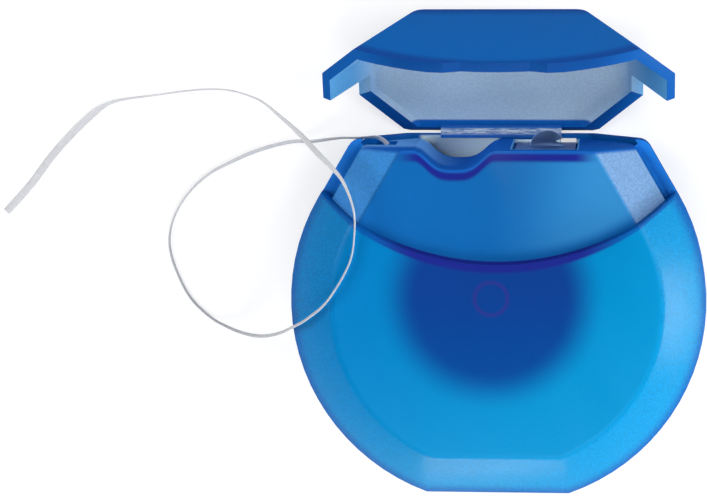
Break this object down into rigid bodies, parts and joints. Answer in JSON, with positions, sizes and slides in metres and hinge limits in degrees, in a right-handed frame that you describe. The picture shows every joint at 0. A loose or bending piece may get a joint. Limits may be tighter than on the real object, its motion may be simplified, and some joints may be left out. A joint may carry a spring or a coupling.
{
  "type": "dental floss dispenser",
  "caption": "Flat round floss dispenser lying on its back: flip lid open on a living hinge, steel cutter, turning bobbin of wound floss and a loose pulled-out length.",
  "frame": {"origin": "on the bobbin's axis, in the plane of the back face that the dispenser lies on", "axes": "+X to the object's right seen from its front, +Y from the bobbin towards the lid, +Z out of the front face"},
  "size_m": [0.0909, 0.0605, 0.0194],
  "materials": {
    "front_case_plastic": "translucent satin blue",
    "rear_case_plastic": "translucent satin blue",
    "lid_plastic": "translucent satin blue",
    "hinge_web": "stress-whitened",
    "cutter_steel": "stamped",
    "bobbin_plastic": "moulded",
    "floss": "waxed"
  },
  "bodies": {
    "case": {"front_case": "front_case_plastic", "rear_case": "rear_case_plastic", "living_hinge": "hinge_web", "cutter": "cutter_steel", "floss_lead": "floss", "floss_free": "floss"},
    "lid": {"lid": "lid_plastic"},
    "bobbin": {"bobbin_core": "bobbin_plastic", "floss_package": "floss", "floss_turns": "floss"}
  },
  "joints": [
    {"name": "lid_hinge", "type": "hinge", "parent": "case", "child": "lid", "pos_m": [0, 0.0204, 0.001], "axis": [-1, 0, 0], "range_deg": [-70.3, 19.7], "deforming": ["living_hinge"]},
    {"name": "bobbin_spin", "type": "hinge", "parent": "case", "child": "bobbin", "pos_m": [0, 0, 0.0079], "axis": [0, 0, 1], "continuous": true}
  ]
}
